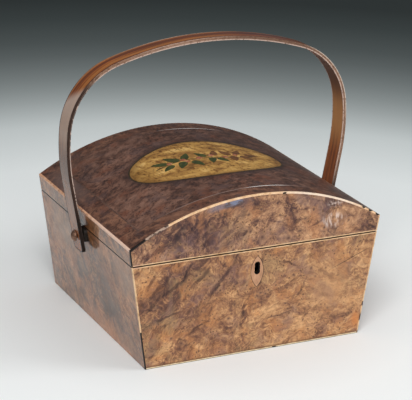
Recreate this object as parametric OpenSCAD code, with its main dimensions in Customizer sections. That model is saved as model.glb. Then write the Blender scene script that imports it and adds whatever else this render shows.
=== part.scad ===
// Burr-veneered sewing box: leaning ends, a vaulted lid, a lock, a lift-out tray and a swing handle.
// Millimetres. +Z is up, the front faces -Y, and the origin is the middle of the underside.

/* [Case] */
// Width of the case across its base, over the veneers
base_w = 208; // [180:1:260]
// Depth from front to back, over the veneers
case_d = 210; // [180:1:260]
// Height from the underside to the joint with the lid
case_h = 95; // [85:1:120]
// Outward lean of both ends, in degrees
end_lean = 8.3; // [4:0.1:10]
// Thickness of the front, back and end boards
board_t = 8; // [8:0.5:12]
// Thickness of the bottom board
bottom_t = 7; // [4:0.5:12]
// Thickness of the paper linings
lining_t = 0.5; // [0.3:0.1:1]

/* [Lid] */
// Height of the lid's ends, from the joint to the edge of the vault
lid_side_h = 15.5; // [13:0.5:25]
// Rise of the vault above the lid's end edges
lid_rise = 35; // [25:1:45]
// Thickness of the curved top board
lid_top_t = 6; // [4:0.5:8]
// Gap between case and lid
lid_gap = 0.8; // [0.3:0.1:1]

/* [Veneer and stringing] */
// Thickness of the saw-cut veneers
veneer_t = 1.4; // [0.8:0.1:2]
// Width of the stringing on the face
string_w = 1.6; // [1:0.1:2.5]
// Width of the stringing along the joint, the base and the front corners
rim_string_w = 1.1; // [0.8:0.1:2]
// Width of the crossband on the lid top, over its inlaid line
crossband_w = 18; // [12:1:26]
// Width of the crossband's inlaid line
band_line_w = 1; // [0.6:0.1:2]
// Length of the oval panel, across the lid
oval_l = 144; // [110:1:160]
// Width of the oval panel, front to back
oval_w = 92; // [70:1:100]
// Radius of the oval's ends
oval_end_r = 32; // [24:1:34]
// Width of the line round the oval
oval_line_w = 1.4; // [0.8:0.1:3]

/* [Lock] */
// Depth of the keyhole's middle below the joint
key_drop = 17.2; // [17:0.1:20]
// Width of the keyhole
key_w = 5; // [4.4:0.1:6]
// Height of the keyhole
key_h = 11.5; // [9:0.5:13]
// Width of the escutcheon
escutcheon_w = 12.5; // [10:0.5:16]
// Height of the escutcheon, point to point
escutcheon_h = 29.5; // [26:0.5:34]
// How far the escutcheon's middle lies below the keyhole's
escutcheon_drop = 3; // [0:0.5:4]
// Width of the lock plate
lock_w = 50; // [48:1:60]
// Height of the lock
lock_h = 30; // [28:1:34]
// Depth of the lock, let into the front board
lock_d = 6.4; // [6:0.1:7]
// Travel of the bolt
bolt_throw = 4.5; // [3.5:0.1:5]
// Thickness of the plates on the two rims
rim_plate_t = 1.4; // [1:0.1:2]
// Distance from the middle to each link
link_x = 9; // [8:0.5:10]
// Reach of the links below the joint
link_drop = 8.5; // [8:0.1:9]

/* [Hinges] */
// Length of each hinge
hinge_len = 38; // [30:1:50]
// Distance from the middle to each hinge
hinge_x = 62; // [50:1:75]
// Thickness of the leaves
leaf_t = 1.2; // [0.8:0.1:1.6]
// Reach of the leaves into the back, from its face
leaf_w = 8; // [7:0.5:9]
// Radius of the knuckles
knuckle_r = 2.6; // [2.2:0.1:3]
// Radius of the hinge pins
hinge_pin_r = 1; // [0.8:0.1:1.2]
// Distance of the hinge axis behind the back face
hinge_proud = 1; // [0.6:0.1:1.5]

/* [Handle] */
// Depth of the handle's pivots below the joint
pivot_drop = 7; // [7:0.5:11]
// Gap between the case end and the handle leg, at the pivot
stand_off = 5.5; // [5.2:0.1:8]
// Width of the bent strip
handle_w = 20; // [16:0.5:24]
// Thickness of the bent strip
handle_t = 3.2; // [2.8:0.1:4]
// Thickness of the light edging on both edges of the strip
edging_t = 0.9; // [0.6:0.1:1.5]
// Outward slope of the legs' straight part, in degrees
leg_slope = 10.3; // [8:0.1:11]
// Reach of the legs below the pivots
foot_drop = 14; // [12:0.5:15]
// Radius of the corners at the legs' ends
foot_corner_r = 4; // [2:0.5:6]
// How much shorter the legs' straight part is than the reach from a pivot to the lid's corners
leg_short = 57.6; // [50:0.1:62]
// Radius of the legs' slow curve
leg_curve_r = 181; // [150:1:220]
// Turn of the legs' slow curve, in degrees
leg_turn = 15.2; // [13:0.1:17]
// Radius of the shoulders
shoulder_r = 65.5; // [60:0.5:72]
// Turn of the shoulders, in degrees
shoulder_turn = 67.2; // [65:0.1:69]
// Backward lean of the standing handle, in degrees
handle_lean = 1.2; // [0:0.1:4]
// Radius of the pivots
pivot_r = 2.2; // [1.8:0.1:3]
// Radius of the pivots' domed heads
pivot_head_r = 4.6; // [4:0.1:6]
// Width of the stand-off blocks
block_w = 14; // [12:0.5:16]
// Height of the stand-off blocks
block_h = 12; // [10:0.5:12.5]

/* [Tray] */
// Depth of the tray's top below the joint
tray_drop = 5; // [4:0.5:12]
// Height of the tray
tray_h = 26; // [20:1:40]
// Thickness of the tray's walls
tray_wall_t = 3; // [2:0.5:4]
// Thickness of the tray's bottom
tray_bottom_t = 2.5; // [2:0.5:4]
// Thickness of the dividers
divider_t = 2.2; // [1.5:0.1:3]
// Distance from the middle to each long divider
divider_x = 30; // [24:1:40]
// Distance from the middle to each divider of the middle bay
divider_y = 42; // [30:1:60]
// How far the dividers stay below the tray's top
divider_drop = 2; // [1:0.5:5]
// Thickness of the slips that carry the tray
bearer_t = 3; // [2:0.5:4]

/* [Clearances] */
// Gap round the tray
tray_gap = 0.8; // [0.5:0.1:1.2]
// Radial play of pins and pivots in what turns on them
pin_play = 0.05; // [0.02:0.01:0.08]
// Gap between pieces that slide or turn past each other
slide_gap = 0.2; // [0.15:0.05:0.3]
// Gap round the knuckles in the wood, and round the links in their slots
free_gap = 0.4; // [0.3:0.05:0.5]

/* [Hidden] */
$fn = 180;

// Levels and faces
lid_z = case_h + lid_gap;
edge_z = case_h + lid_side_h;
apex_z = edge_z + lid_rise;
face_y = case_d / 2;
core_y = face_y - veneer_t;
room_y = core_y - board_t;
room_inset = veneer_t + board_t;
vault_r = (pow(half_w(edge_z), 2) + pow(lid_rise, 2)) / (2 * lid_rise);
vault_z = apex_z - vault_r;

// Lock: lengths along the bolt, and levels below the joint
lock_plate_t = 1;
lock_wall = 0.6;
lock_flange = 3;
lock_foot = 2;
lock_box_w = lock_w - 2 * lock_flange;
lock_z = case_h - lock_h;
key_z = case_h - key_drop;
lock_room_y = lock_d - lock_plate_t - lock_wall;
lock_mid_y = -room_y - lock_plate_t - lock_room_y / 2;
link_t = 1.6;
link_w = lock_room_y - 2 * free_gap - slide_gap;
eye_top = 3.6;
eye_h = 3.6;
eye_wall = 0.7;
eye_w = link_w - 2 * eye_wall;
peg_h = eye_h - 2 * free_gap;
peg_w = eye_w - 2 * slide_gap;
peg_root = 1;
peg_len = bolt_throw + peg_root;
peg_tip = -link_t / 2 - free_gap;
post_w = 2.4;
bar_gap = 1;
bar_top = link_drop + bar_gap;
bar_h = 4;
bar_past_link = 5;
bar_end = link_x + bar_past_link;
ledge_h = 1.5;
ledge_w = 4;
ledge_x = 12;
drill_pin_r = 0.9;
drill_pin_up = 2.2;
key_lip = 0.3;
wood_key_w = key_w - 2 * key_lip;
wood_key_h = key_h - 2 * key_lip;
lock_screw_x = (lock_w - lock_flange) / 2;
link_screw_x = lock_screw_x - lock_flange;
lock_screw_len = 5;

// Hinges
axis_y = face_y + hinge_proud;
axis_z = case_h + lid_gap / 2;
knuckle_len = hinge_len / 3;
leaf_edge_y = axis_y - knuckle_r - free_gap;
leaf_y = face_y - leaf_w;
hinge_screw_y = (leaf_y + leaf_edge_y) / 2;
hinge_screw_step = hinge_len / 3;

// Small screws: shank, countersunk head and length
screw_r = 0.9;
screw_head_r = 1.5;
screw_head_h = 0.9;
screw_len = 6;

// Handle: centre line of the right leg, as tangent arcs, measured from the pivot
pivot_z = case_h - pivot_drop;
leg_half = handle_t / 2 / cos(leg_slope);
pivot_x = half_w(pivot_z) + stand_off + leg_half;
leg_len = norm([face_y, edge_z - pivot_z]) - leg_short;
leg_way = [sin(leg_slope), cos(leg_slope)];
leg_p = [pivot_x, 0] + leg_len * leg_way;
foot_p = [pivot_x, 0] - 2 * foot_drop * leg_way;
curve_c = leg_p + leg_curve_r * [-leg_way[1], leg_way[0]];
curve_a = leg_turn - leg_slope;
curve_p = curve_c + leg_curve_r * [cos(curve_a), sin(curve_a)];
shoulder_c = curve_p - shoulder_r * [cos(curve_a), sin(curve_a)];
crown_a = curve_a + shoulder_turn;
shoulder_p = shoulder_c + shoulder_r * [cos(crown_a), sin(crown_a)];
crown_r = shoulder_p[0] / cos(crown_a);
crown_c = [0, shoulder_p[1] - crown_r * sin(crown_a)];
leg_cut = cut_line(leg_p, -leg_slope);
curve_cut = cut_line(curve_p, curve_a);
crown_cut = cut_line(shoulder_p, crown_a);

// Pivots: a sloping leg turns between two shallow cones
leg_clear = leg_half + slide_gap;
washer_t = 0.5;
washer_rim = 0.6;
washer_r = pivot_head_r + washer_rim;
washer_x = pivot_x + leg_clear;
washer_dish = washer_r * tan(leg_slope);
head_h = 3;
head_x = washer_x + washer_dish + washer_t;
pivot_depth = 6;
block_x = pivot_x - leg_clear;
block_rise = 0.4;
block_z = pivot_z + block_rise;
block_corner_r = 3;

// Crossband and oval, in plan
edge_slope = asin(half_w(edge_z) / vault_r);
band_x = half_w(edge_z) - crossband_w * cos(edge_slope);
band_y = face_y - crossband_w;
oval_end_x = oval_l / 2 - oval_end_r;
oval_lap = 0.02;
oval_blend_r = oval_end_r - oval_lap;
oval_side_r = (pow(oval_end_x, 2) + pow(oval_w / 2, 2) - pow(oval_blend_r, 2)) / (oval_w - 2 * oval_blend_r);
oval_side_y = oval_side_r - oval_w / 2;

// Tray
tray_y = room_y - lining_t - tray_gap;
tray_inset = room_inset + lining_t + tray_gap;
tray_top = case_h - tray_drop;
tray_z = tray_top - tray_h;
tray_floor = tray_z + tray_bottom_t;
divider_top = tray_top - divider_drop;

// Line across the handle's strip at a point of its centre line, from inside to outside
function cut_line(p, a) = [p - handle_t * [cos(a), sin(a)], p + handle_t * [cos(a), sin(a)]];

// Half width of the box at a height, over the end veneers
function half_w(z) = base_w / 2 + z * tan(end_lean);

// Shared shapes

// Extrudes an outline drawn in X and Z along Y
module along_y(y0, y1) {
  translate([0, y1, 0]) rotate([90, 0, 0]) linear_extrude(y1 - y0) children();
}

// Extrudes an outline drawn in Y and Z along X
module along_x(x0, x1) {
  translate([x0, 0, 0]) rotate([90, 0, 90]) linear_extrude(x1 - x0) children();
}

// The piece and its mirror image at the other end
module both_ends() {
  children();
  mirror([1, 0, 0]) children();
}

// A box from its lowest to its highest corner
module block(low, high) {
  translate(low) cube(high - low);
}

// Outline between the two leaning ends, set in from their faces
module between_ends(inset, z0, z1) {
  low = half_w(z0) - inset;
  high = half_w(z1) - inset;
  polygon([[-low, z0], [low, z0], [high, z1], [-high, z1]]);
}

// Leaning slip along the right end, between two depths from its face
module end_slip(outer, inner, z0, z1) {
  polygon([
    [half_w(z0) - inner, z0], [half_w(z0) - outer, z0],
    [half_w(z1) - outer, z1], [half_w(z1) - inner, z1]
  ]);
}

// Everything under the vault, set in from its surface
module under_vault(inset) {
  translate([0, vault_z]) circle(vault_r - inset);
}

// Outline of the lid above a level, set in from its ends and from its top
module lid_outline(end_inset, top_inset, z0) {
  intersection() {
    between_ends(end_inset, z0, apex_z + lid_rise);
    under_vault(top_inset);
  }
}

// The skin of the vault between two distances from the ends
module vault_skin(end_inset, y0, y1) {
  along_y(y0, y1) difference() {
    lid_outline(end_inset, 0, lid_z);
    under_vault(veneer_t);
  }
}

// A part of the vault's skin, cut out by an outline in plan
module vault_inlay() {
  intersection() {
    vault_skin(string_w, veneer_t - face_y, face_y);
    translate([0, 0, case_h]) linear_extrude(apex_z) children();
  }
}

// Four-centred oval, grown on all sides: the end arcs stand a lap proud of the side arcs where they meet
module oval(grow) {
  meet_x = oval_end_x + (oval_blend_r + grow) * oval_end_x / (oval_side_r - oval_blend_r);
  for (s = [-1, 1]) translate([s * oval_end_x, 0]) circle(oval_end_r + grow);
  intersection() {
    translate([0, oval_side_y]) circle(oval_side_r + grow);
    translate([0, -oval_side_y]) circle(oval_side_r + grow);
    square([2 * meet_x, 2 * oval_w], center = true);
  }
}

// Rectangle in plan, at the crossband's line, grown on all sides
module band_field(grow) {
  square([2 * (band_x + grow), 2 * (band_y + grow)], center = true);
}

// Upright slot with round ends
module keyhole(w, h) {
  translate([0, key_z]) {
    square([w, h - w], center = true);
    for (s = [-1, 1]) translate([0, s * (h - w) / 2]) circle(w / 2);
  }
}

// Pointed oval of the escutcheon
module escutcheon_outline() {
  r = (pow(escutcheon_h, 2) + pow(escutcheon_w, 2)) / (4 * escutcheon_w);
  translate([0, key_z - escutcheon_drop]) intersection() {
    translate([r - escutcheon_w / 2, 0]) circle(r);
    translate([escutcheon_w / 2 - r, 0]) circle(r);
  }
}

// Countersunk screw with its head's face at the origin, pointing down
module screw(len) {
  translate([0, 0, -screw_head_h]) cylinder(h = screw_head_h, r1 = screw_r, r2 = screw_head_r);
  translate([0, 0, -len]) cylinder(h = len - screw_head_h, r = screw_r);
}

// Case

module bottom_board() {
  color("saddlebrown") along_y(-room_y, room_y) between_ends(room_inset, 0, bottom_t);
}

module front_board() {
  color("peru") difference() {
    along_y(-core_y, -room_y) between_ends(veneer_t, 0, case_h);
    lock_body();
    rim_plate(case_h - rim_plate_t, lid_z);
    along_y(-face_y, -room_y) keyhole(wood_key_w, wood_key_h);
    lock_screws();
  }
}

module back_board() {
  color("peru") difference() {
    along_y(room_y, core_y) between_ends(veneer_t, 0, case_h);
    hinge_room();
    hinge_screws_case();
  }
}

module end_board() {
  color("peru") difference() {
    along_y(-room_y, room_y) end_slip(veneer_t, room_inset, 0, case_h);
    pivot_shank();
  }
}

module right_end_board() {
  end_board();
}

module left_end_board() {
  mirror([1, 0, 0]) end_board();
}

module front_veneer() {
  color("chocolate") along_y(-face_y, -core_y) difference() {
    between_ends(rim_string_w, rim_string_w, case_h - rim_string_w);
    escutcheon_outline();
  }
}

module back_veneer() {
  color("chocolate") difference() {
    along_y(core_y, face_y) between_ends(veneer_t, 0, case_h);
    hinge_room();
  }
}

module end_veneer() {
  color("sienna") difference() {
    along_y(-core_y, face_y) end_slip(0, veneer_t, 0, case_h);
    pivot_shank();
  }
}

module right_end_veneer() {
  end_veneer();
}

module left_end_veneer() {
  mirror([1, 0, 0]) end_veneer();
}

module corner_stringing() {
  color("wheat") both_ends() along_y(-face_y, -core_y) end_slip(0, rim_string_w, 0, case_h);
}

module base_stringing() {
  color("wheat") along_y(-face_y, -core_y) between_ends(rim_string_w, 0, rim_string_w);
}

module rim_stringing() {
  color("wheat") along_y(-face_y, -core_y) between_ends(rim_string_w, case_h - rim_string_w, case_h);
}

module keyhole_escutcheon() {
  color("burlywood") along_y(-face_y, -core_y) difference() {
    escutcheon_outline();
    keyhole(key_w, key_h);
  }
}

// Lock

// Plate on a rim, over the lock
module rim_plate(z0, z1) {
  block([-lock_w / 2, -room_y - lock_d, z0], [lock_w / 2, -room_y, z1]);
}

// The space that the lock takes in the front board
module lock_body() {
  top = case_h - rim_plate_t;
  block([-lock_w / 2, -room_y - lock_plate_t, lock_z], [lock_w / 2, -room_y, top]);
  block([-lock_box_w / 2, -room_y - lock_d, lock_z + lock_foot], [lock_box_w / 2, -room_y, top]);
}

// The room inside the lock
module lock_room() {
  half = lock_box_w / 2 - lock_wall;
  block([-half, lock_mid_y - lock_room_y / 2, lock_z + lock_foot + lock_wall],
        [half, lock_mid_y + lock_room_y / 2, case_h]);
}

module lock_case() {
  ledge_z = case_h - bar_top - bar_h - slide_gap;
  color("darkgoldenrod") difference() {
    union() {
      difference() {
        lock_body();
        lock_room();
      }
      for (s = [-1, 1]) block(
        [s * ledge_x - ledge_w / 2, lock_mid_y - lock_room_y / 2, ledge_z - ledge_h],
        [s * ledge_x + ledge_w / 2, lock_mid_y + lock_room_y / 2, ledge_z]
      );
      along_y(-core_y, -room_y - lock_plate_t) translate([0, key_z + drill_pin_up]) circle(drill_pin_r);
    }
    along_y(-core_y, lock_mid_y) difference() {
      keyhole(wood_key_w, wood_key_h);
      translate([0, key_z + drill_pin_up]) circle(drill_pin_r);
    }
    lock_screws();
  }
}

module lock_selvedge() {
  color("goldenrod") difference() {
    rim_plate(case_h - rim_plate_t, case_h);
    for (s = [-1, 1]) link_space(s * link_x, link_t / 2 + free_gap, link_w / 2 + free_gap);
  }
}

// The upright space round a link
module link_space(x, half_x, half_y) {
  block([x - half_x, lock_mid_y - half_y, lock_z], [x + half_x, lock_mid_y + half_y, lid_z]);
}

module lock_screws() {
  low = lock_z + screw_head_r + slide_gap;
  high = case_h - rim_plate_t - screw_head_r - slide_gap;
  color("gold") for (s = [-1, 1], z = [low, high])
    translate([s * lock_screw_x, -room_y, z]) rotate([-90, 0, 0]) screw(lock_screw_len);
}

module lock_bolt() {
  bar_z = case_h - bar_top;
  peg_z = case_h - eye_top - eye_h / 2;
  left = -link_x + peg_tip - peg_len - post_w;
  color("khaki") {
    block([left, lock_mid_y - lock_room_y / 2 + slide_gap, bar_z - bar_h],
          [bar_end, lock_mid_y + lock_room_y / 2 - slide_gap, bar_z]);
    for (s = [-1, 1]) {
      tip = s * link_x + peg_tip;
      block([tip - peg_len - post_w, lock_mid_y - peg_w / 2, bar_z],
            [tip - peg_len, lock_mid_y + peg_w / 2, peg_z + peg_h / 2]);
      block([tip - peg_len, lock_mid_y - peg_w / 2, peg_z - peg_h / 2],
            [tip, lock_mid_y + peg_w / 2, peg_z + peg_h / 2]);
    }
  }
}

module link_plate() {
  color("goldenrod") difference() {
    union() {
      rim_plate(lid_z, lid_z + rim_plate_t);
      for (s = [-1, 1]) block(
        [s * link_x - link_t / 2, lock_mid_y - link_w / 2, case_h - link_drop],
        [s * link_x + link_t / 2, lock_mid_y + link_w / 2, lid_z]
      );
    }
    block([-lock_w / 2, lock_mid_y - eye_w / 2, case_h - eye_top - eye_h],
          [lock_w / 2, lock_mid_y + eye_w / 2, case_h - eye_top]);
    link_plate_screws();
  }
}

module link_plate_screws() {
  color("gold") for (s = [-1, 1])
    translate([s * link_screw_x, lock_mid_y, lid_z]) rotate([180, 0, 0]) screw(screw_len);
}

// Hinges

module at_hinges() {
  for (s = [-1, 1]) translate([s * hinge_x, 0, 0]) children();
}

module knuckle(x0, x1, r) {
  translate([x0, axis_y, axis_z]) rotate([0, 90, 0]) cylinder(h = x1 - x0, r = r);
}

// What the hinges take out of the back, in the case and in the lid
module hinge_room() {
  at_hinges() {
    block([-hinge_len / 2, leaf_y, case_h - leaf_t], [hinge_len / 2, axis_y, lid_z + leaf_t]);
    knuckle(-hinge_len / 2, hinge_len / 2, knuckle_r + free_gap);
  }
}

// One leaf with knuckles over the given stretches of its length
module hinge_leaf(z0, stretches) {
  difference() {
    union() {
      block([-hinge_len / 2, leaf_y, z0], [hinge_len / 2, leaf_edge_y, z0 + leaf_t]);
      for (x = stretches) {
        block([x[0], leaf_edge_y, z0], [x[1], axis_y, z0 + leaf_t]);
        knuckle(x[0], x[1], knuckle_r);
      }
    }
    knuckle(-hinge_len, hinge_len, hinge_pin_r + pin_play);
  }
}

module hinge_leaves_case() {
  inner = knuckle_len / 2 + slide_gap / 2;
  outer = hinge_len / 2;
  color("goldenrod") difference() {
    at_hinges() hinge_leaf(case_h - leaf_t, [[-outer, -inner], [inner, outer]]);
    hinge_screws_case();
  }
}

module hinge_leaves_lid() {
  inner = knuckle_len / 2 - slide_gap / 2;
  color("goldenrod") difference() {
    at_hinges() hinge_leaf(lid_z, [[-inner, inner]]);
    hinge_screws_lid();
  }
}

module hinge_pins() {
  color("gold") at_hinges() knuckle(-hinge_len / 2, hinge_len / 2, hinge_pin_r);
}

module hinge_screws_case() {
  color("gold") at_hinges() for (i = [-1:1])
    translate([i * hinge_screw_step, hinge_screw_y, case_h]) screw(screw_len);
}

module hinge_screws_lid() {
  color("gold") at_hinges() for (i = [-1:1])
    translate([i * hinge_screw_step, hinge_screw_y, lid_z]) rotate([180, 0, 0]) screw(screw_len);
}

// Inside of the case

module case_lining() {
  color("lightgray") difference() {
    along_y(-room_y, room_y) between_ends(room_inset, bottom_t, case_h);
    along_y(lining_t - room_y, room_y - lining_t)
      between_ends(room_inset + lining_t, bottom_t + lining_t, lid_z);
    lock_window();
  }
}

// Opening in the lining over the lock's plate
module lock_window() {
  block([-lock_w / 2, -room_y, lock_z], [lock_w / 2, lining_t - room_y, lid_z]);
}

module tray_bearers() {
  outer = room_y - lining_t;
  color("tan") for (s = [0, 1]) mirror([0, s, 0])
    along_y(outer - bearer_t, outer) between_ends(room_inset + lining_t, bottom_t + lining_t, tray_z);
}

// Tray

module tray_bottom() {
  color("burlywood") along_y(-tray_y, tray_y) between_ends(tray_inset, tray_z, tray_floor);
}

module tray_long_walls() {
  color("burlywood") for (s = [0, 1]) mirror([0, s, 0])
    along_y(tray_y - tray_wall_t, tray_y) between_ends(tray_inset + tray_wall_t, tray_floor, tray_top);
}

module tray_end_walls() {
  color("burlywood") both_ends()
    along_y(-tray_y, tray_y) end_slip(tray_inset, tray_inset + tray_wall_t, tray_floor, tray_top);
}

module tray_long_dividers() {
  reach = tray_y - tray_wall_t;
  half = divider_t / 2;
  color("tan") for (s = [-1, 1])
    block([s * divider_x - half, -reach, tray_floor], [s * divider_x + half, reach, divider_top]);
}

module tray_cross_dividers() {
  half = divider_t / 2;
  color("tan") {
    for (s = [-1, 1]) block([half - divider_x, s * divider_y - half, tray_floor],
                            [divider_x - half, s * divider_y + half, divider_top]);
    both_ends() along_y(-half, half) intersection() {
      between_ends(tray_inset + tray_wall_t, tray_floor, divider_top);
      translate([divider_x + half, 0]) square([base_w, apex_z]);
    }
  }
}

// Lid

module lid_front_board() {
  color("peru") difference() {
    along_y(-core_y, -room_y) lid_outline(veneer_t, veneer_t + lid_top_t, lid_z);
    rim_plate(case_h, lid_z + rim_plate_t);
    link_plate_screws();
  }
}

module lid_back_board() {
  color("peru") difference() {
    along_y(room_y, core_y) lid_outline(veneer_t, veneer_t + lid_top_t, lid_z);
    hinge_room();
    hinge_screws_lid();
  }
}

module lid_end_board() {
  color("peru") along_y(-room_y, room_y) intersection() {
    end_slip(veneer_t, room_inset, lid_z, apex_z);
    under_vault(veneer_t + lid_top_t);
  }
}

module lid_right_end_board() {
  lid_end_board();
}

module lid_left_end_board() {
  mirror([1, 0, 0]) lid_end_board();
}

module lid_top_board() {
  color("peru") along_y(-core_y, core_y) difference() {
    lid_outline(veneer_t, veneer_t, lid_z);
    under_vault(veneer_t + lid_top_t);
  }
}

module lid_front_veneer() {
  color("chocolate") along_y(-face_y, -core_y) lid_outline(rim_string_w, string_w, lid_z + rim_string_w);
}

module lid_back_veneer() {
  color("chocolate") difference() {
    along_y(core_y, face_y) lid_outline(veneer_t, veneer_t, lid_z);
    hinge_room();
  }
}

module lid_end_veneer() {
  color("sienna") along_y(-core_y, face_y) end_slip(0, veneer_t, lid_z, edge_z - string_w);
}

module lid_right_end_veneer() {
  lid_end_veneer();
}

module lid_left_end_veneer() {
  mirror([1, 0, 0]) lid_end_veneer();
}

module lid_top_veneer() {
  color("brown") vault_inlay() difference() {
    band_field(-band_line_w);
    oval(oval_line_w);
  }
}

module lid_crossband() {
  color("maroon") vault_inlay() difference() {
    square([2 * base_w, 2 * case_d], center = true);
    band_field(0);
  }
}

module crossband_line() {
  color("tan") vault_inlay() difference() {
    band_field(0);
    band_field(-band_line_w);
  }
}

module oval_panel() {
  color("goldenrod") vault_inlay() oval(0);
}

module oval_line() {
  color("black") vault_inlay() difference() {
    oval(oval_line_w);
    oval(0);
  }
}

module arch_stringing() {
  color("wheat") along_y(-face_y, -core_y) difference() {
    lid_outline(0, 0, lid_z);
    under_vault(string_w);
  }
}

module lid_end_stringing() {
  color("wheat") both_ends() along_y(-core_y, face_y) difference() {
    intersection() {
      end_slip(0, string_w, edge_z - string_w, apex_z);
      under_vault(0);
    }
    lid_outline(veneer_t, veneer_t, lid_z);
  }
}

module lid_rim_stringing() {
  color("wheat") along_y(-face_y, -core_y) between_ends(rim_string_w, lid_z, lid_z + rim_string_w);
}

module lid_corner_stringing() {
  color("wheat") both_ends() along_y(-face_y, -core_y) intersection() {
    end_slip(0, rim_string_w, lid_z, edge_z);
    under_vault(string_w);
  }
}

module lid_lining() {
  top = veneer_t + lid_top_t;
  color("lightgray") difference() {
    along_y(-room_y, room_y) lid_outline(room_inset, top, lid_z);
    along_y(lining_t - room_y, room_y - lining_t) lid_outline(room_inset + lining_t, top + lining_t, case_h);
  }
}

// Handle

// Stretch of a ring round a centre, between the lines across the strip at its two ends
module bent_strip(centre, r, start, finish) {
  middle = (start[1] + finish[1]) / 2 - centre;
  crest = centre + middle * pow(r + handle_t, 2) / (middle * middle);
  intersection() {
    translate(centre) difference() {
      circle(r + handle_t / 2, $fn = 720);
      circle(r - handle_t / 2, $fn = 720);
    }
    polygon([start[0], start[1], crest, finish[1], finish[0]]);
  }
}

// Outline of the whole strip in X and Z, measured from the pivot line
module bow_outline() {
  across = handle_t / 2 * [leg_way[1], -leg_way[0]];
  both_ends() {
    polygon([foot_p - across, foot_p + across, leg_p + across, leg_p - across]);
    bent_strip(curve_c, leg_curve_r, leg_cut, curve_cut);
    bent_strip(shoulder_c, shoulder_r, curve_cut, crown_cut);
  }
  bent_strip(crown_c, crown_r, crown_cut, [for (p = crown_cut) [-p[0], p[1]]]);
}

// Side outline of the strip: small round corners below, straight edges above, set in from the edges
module bow_side(inset) {
  half = handle_w / 2 - inset;
  corner_r = foot_corner_r - inset;
  corner_y = handle_w / 2 - foot_corner_r;
  corner_z = foot_corner_r - foot_drop;
  for (s = [-1, 1]) translate([s * corner_y, corner_z]) circle(corner_r);
  translate([-corner_y, inset - foot_drop]) square([2 * corner_y, foot_drop]);
  translate([-half, corner_z]) square([2 * half, crown_c[1] + crown_r + handle_t - corner_z]);
}

// The strip between two distances from its edges, standing on the pivots
module standing_strip(inset) {
  width = pivot_x + leg_len;
  translate([0, 0, pivot_z]) rotate([-handle_lean, 0, 0]) intersection() {
    along_y(-handle_w / 2, handle_w / 2) bow_outline();
    along_x(-width, width) bow_side(inset);
  }
}

module pivot_bores() {
  both_ends() translate([pivot_x - handle_t, 0, pivot_z]) rotate([0, 90, 0])
    cylinder(h = 2 * handle_t, r = pivot_r + pin_play);
}

module handle_bow() {
  color("sienna") difference() {
    standing_strip(edging_t);
    pivot_bores();
  }
}

module handle_edging() {
  color("rosybrown") difference() {
    standing_strip(0);
    standing_strip(edging_t);
  }
}

// Pivot without its head, from inside the end board out through the leg
module pivot_shank() {
  x0 = half_w(pivot_z) - veneer_t - pivot_depth;
  translate([x0, 0, pivot_z]) rotate([0, 90, 0]) cylinder(h = head_x - x0, r = pivot_r);
}

module handle_pivots() {
  dome_r = (pow(pivot_head_r, 2) + pow(head_h, 2)) / (2 * head_h);
  color("darkkhaki") both_ends() {
    pivot_shank();
    translate([head_x, 0, pivot_z]) rotate([0, 90, 0]) rotate_extrude() intersection() {
      translate([0, head_h - dome_r]) circle(dome_r);
      square(2 * [pivot_head_r, head_h]);
    }
  }
}

// Washer with a dished face towards the leg
module pivot_washers() {
  color("darkgoldenrod") both_ends() difference() {
    translate([washer_x, 0, pivot_z]) rotate([0, 90, 0]) rotate_extrude()
      polygon([[0, 0], [washer_r, washer_dish], [washer_r, head_x - washer_x], [0, head_x - washer_x]]);
    pivot_shank();
  }
}

// Upright rectangle with round corners, in Y and Z
module block_outline() {
  half = [block_w, block_h] / 2;
  translate([0, block_z]) {
    square([block_w, block_h - 2 * block_corner_r], center = true);
    square([block_w - 2 * block_corner_r, block_h], center = true);
    for (sy = [-1, 1], sz = [-1, 1])
      translate([sy * (half[0] - block_corner_r), sz * (half[1] - block_corner_r)]) circle(block_corner_r);
  }
}

// Block on the case end, with a coned face towards the leg
module handle_blocks() {
  depth = 2 * stand_off;
  color("dimgray") both_ends() difference() {
    intersection() {
      along_x(base_w / 2, pivot_x) block_outline();
      translate([block_x - depth, 0, pivot_z]) rotate([0, 90, 0])
        cylinder(h = depth, r1 = depth / tan(leg_slope), r2 = 0);
    }
    along_y(-block_w, block_w) between_ends(0, 0, edge_z);
    pivot_shank();
  }
}

bottom_board();
front_board();
back_board();
left_end_board();
right_end_board();
front_veneer();
back_veneer();
left_end_veneer();
right_end_veneer();
corner_stringing();
base_stringing();
rim_stringing();
keyhole_escutcheon();
lock_case();
lock_selvedge();
lock_screws();
lock_bolt();
hinge_leaves_case();
hinge_pins();
hinge_screws_case();
handle_blocks();
handle_pivots();
pivot_washers();
case_lining();
tray_bearers();
lid_front_board();
lid_back_board();
lid_left_end_board();
lid_right_end_board();
lid_top_board();
lid_front_veneer();
lid_back_veneer();
lid_left_end_veneer();
lid_right_end_veneer();
lid_top_veneer();
lid_crossband();
crossband_line();
oval_panel();
oval_line();
arch_stringing();
lid_end_stringing();
lid_rim_stringing();
lid_corner_stringing();
link_plate();
link_plate_screws();
hinge_leaves_lid();
hinge_screws_lid();
lid_lining();
handle_bow();
handle_edging();
tray_bottom();
tray_long_walls();
tray_end_walls();
tray_long_dividers();
tray_cross_dividers();
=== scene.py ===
import math

import bpy
from mathutils import Matrix, Vector


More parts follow.
